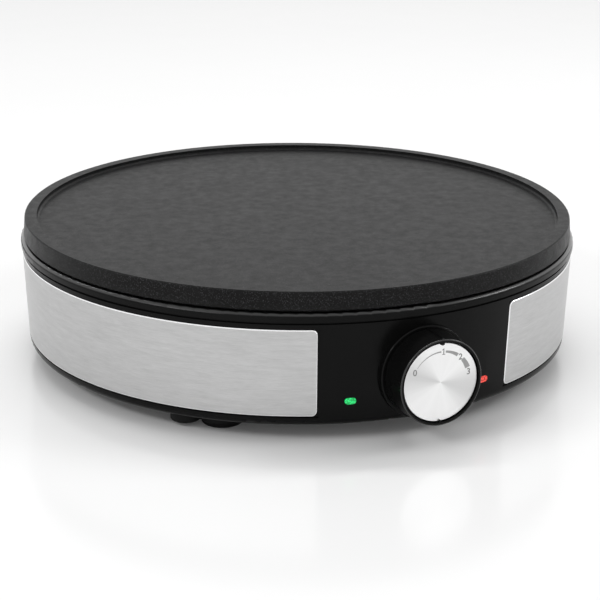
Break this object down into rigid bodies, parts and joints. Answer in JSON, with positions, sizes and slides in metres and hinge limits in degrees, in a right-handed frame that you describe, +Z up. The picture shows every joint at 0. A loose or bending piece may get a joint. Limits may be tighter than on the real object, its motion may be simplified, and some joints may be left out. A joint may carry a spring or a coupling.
{
  "type": "electric crepe maker",
  "caption": "Round electric crepe maker with a shallow rimmed non-stick plate, a black housing with brushed side panels, a front dial knob and indicator lamps.",
  "frame": {"origin": "on the table, below the middle of the whole outer box; the plate's axis stands 8.81 mm behind it", "axes": "+Z up; the control knob faces -Y; +X to the right of someone who faces the knob"},
  "size_m": [0.32, 0.3376, 0.0827],
  "materials": {
    "base_plastic": "black, matt",
    "plated_metal": "plated steel",
    "plate_coating": "dark non-stick coating with a fine speckle",
    "foot_rubber": "matt rubber",
    "dial_metal": "spun metal with grey numbers",
    "lamp_glass": "small neon capsule",
    "green_lens": "translucent green, lit",
    "shield_sheet": "aluminised sheet",
    "ceramic": "glazed ceramic",
    "heater_tube": "oxidised steel tube",
    "black_plastic": "black, semi gloss",
    "knob_plastic": "black, satin",
    "brushed_trim": "brushed along its length",
    "red_lens": "translucent red, lit",
    "copper": "copper"
  },
  "bodies": {
    "root": {"base_cover": "base_plastic", "base_screws": "plated_metal", "bracket_screws": "plated_metal", "bulb_clamp": "plated_metal", "clamp_screws": "plated_metal", "cooking_plate": "plate_coating", "cord_inlet": "foot_rubber", "dial_backing": "base_plastic", "dial_carrier": "base_plastic", "dial_disc": "dial_metal", "foot_front_left": "foot_rubber", "foot_front_right": "foot_rubber", "foot_rear_left": "foot_rubber", "foot_rear_right": "foot_rubber", "fuse_clamp": "plated_metal", "green_lamp": "lamp_glass", "green_lens": "green_lens", "heat_shield": "shield_sheet", "heater_pins": "plated_metal", "heater_seals": "ceramic", "heating_element": "heater_tube", "housing_shell": "black_plastic", "lamp_sleeves": "base_plastic", "left_trim_panel": "brushed_trim", "plate_screws": "plated_metal", "plate_spacers": "plated_metal", "red_lamp": "lamp_glass", "red_lens": "red_lens", "right_trim_panel": "brushed_trim", "terminal_block": "ceramic", "thermal_fuse": "plated_metal", "thermostat_body": "ceramic", "thermostat_bracket": "plated_metal", "thermostat_bulb": "copper"},
    "knob": {"knob_clip": "plated_metal", "knob_ring": "knob_plastic", "thermostat_spindle": "plated_metal"}
  },
  "joints": [
    {"name": "knob_turn", "type": "hinge", "parent": "root", "child": "knob", "pos_m": [0, -0.1612, 0.0357], "axis": [0, -1, 0], "range_deg": [-73, 70]}
  ]
}
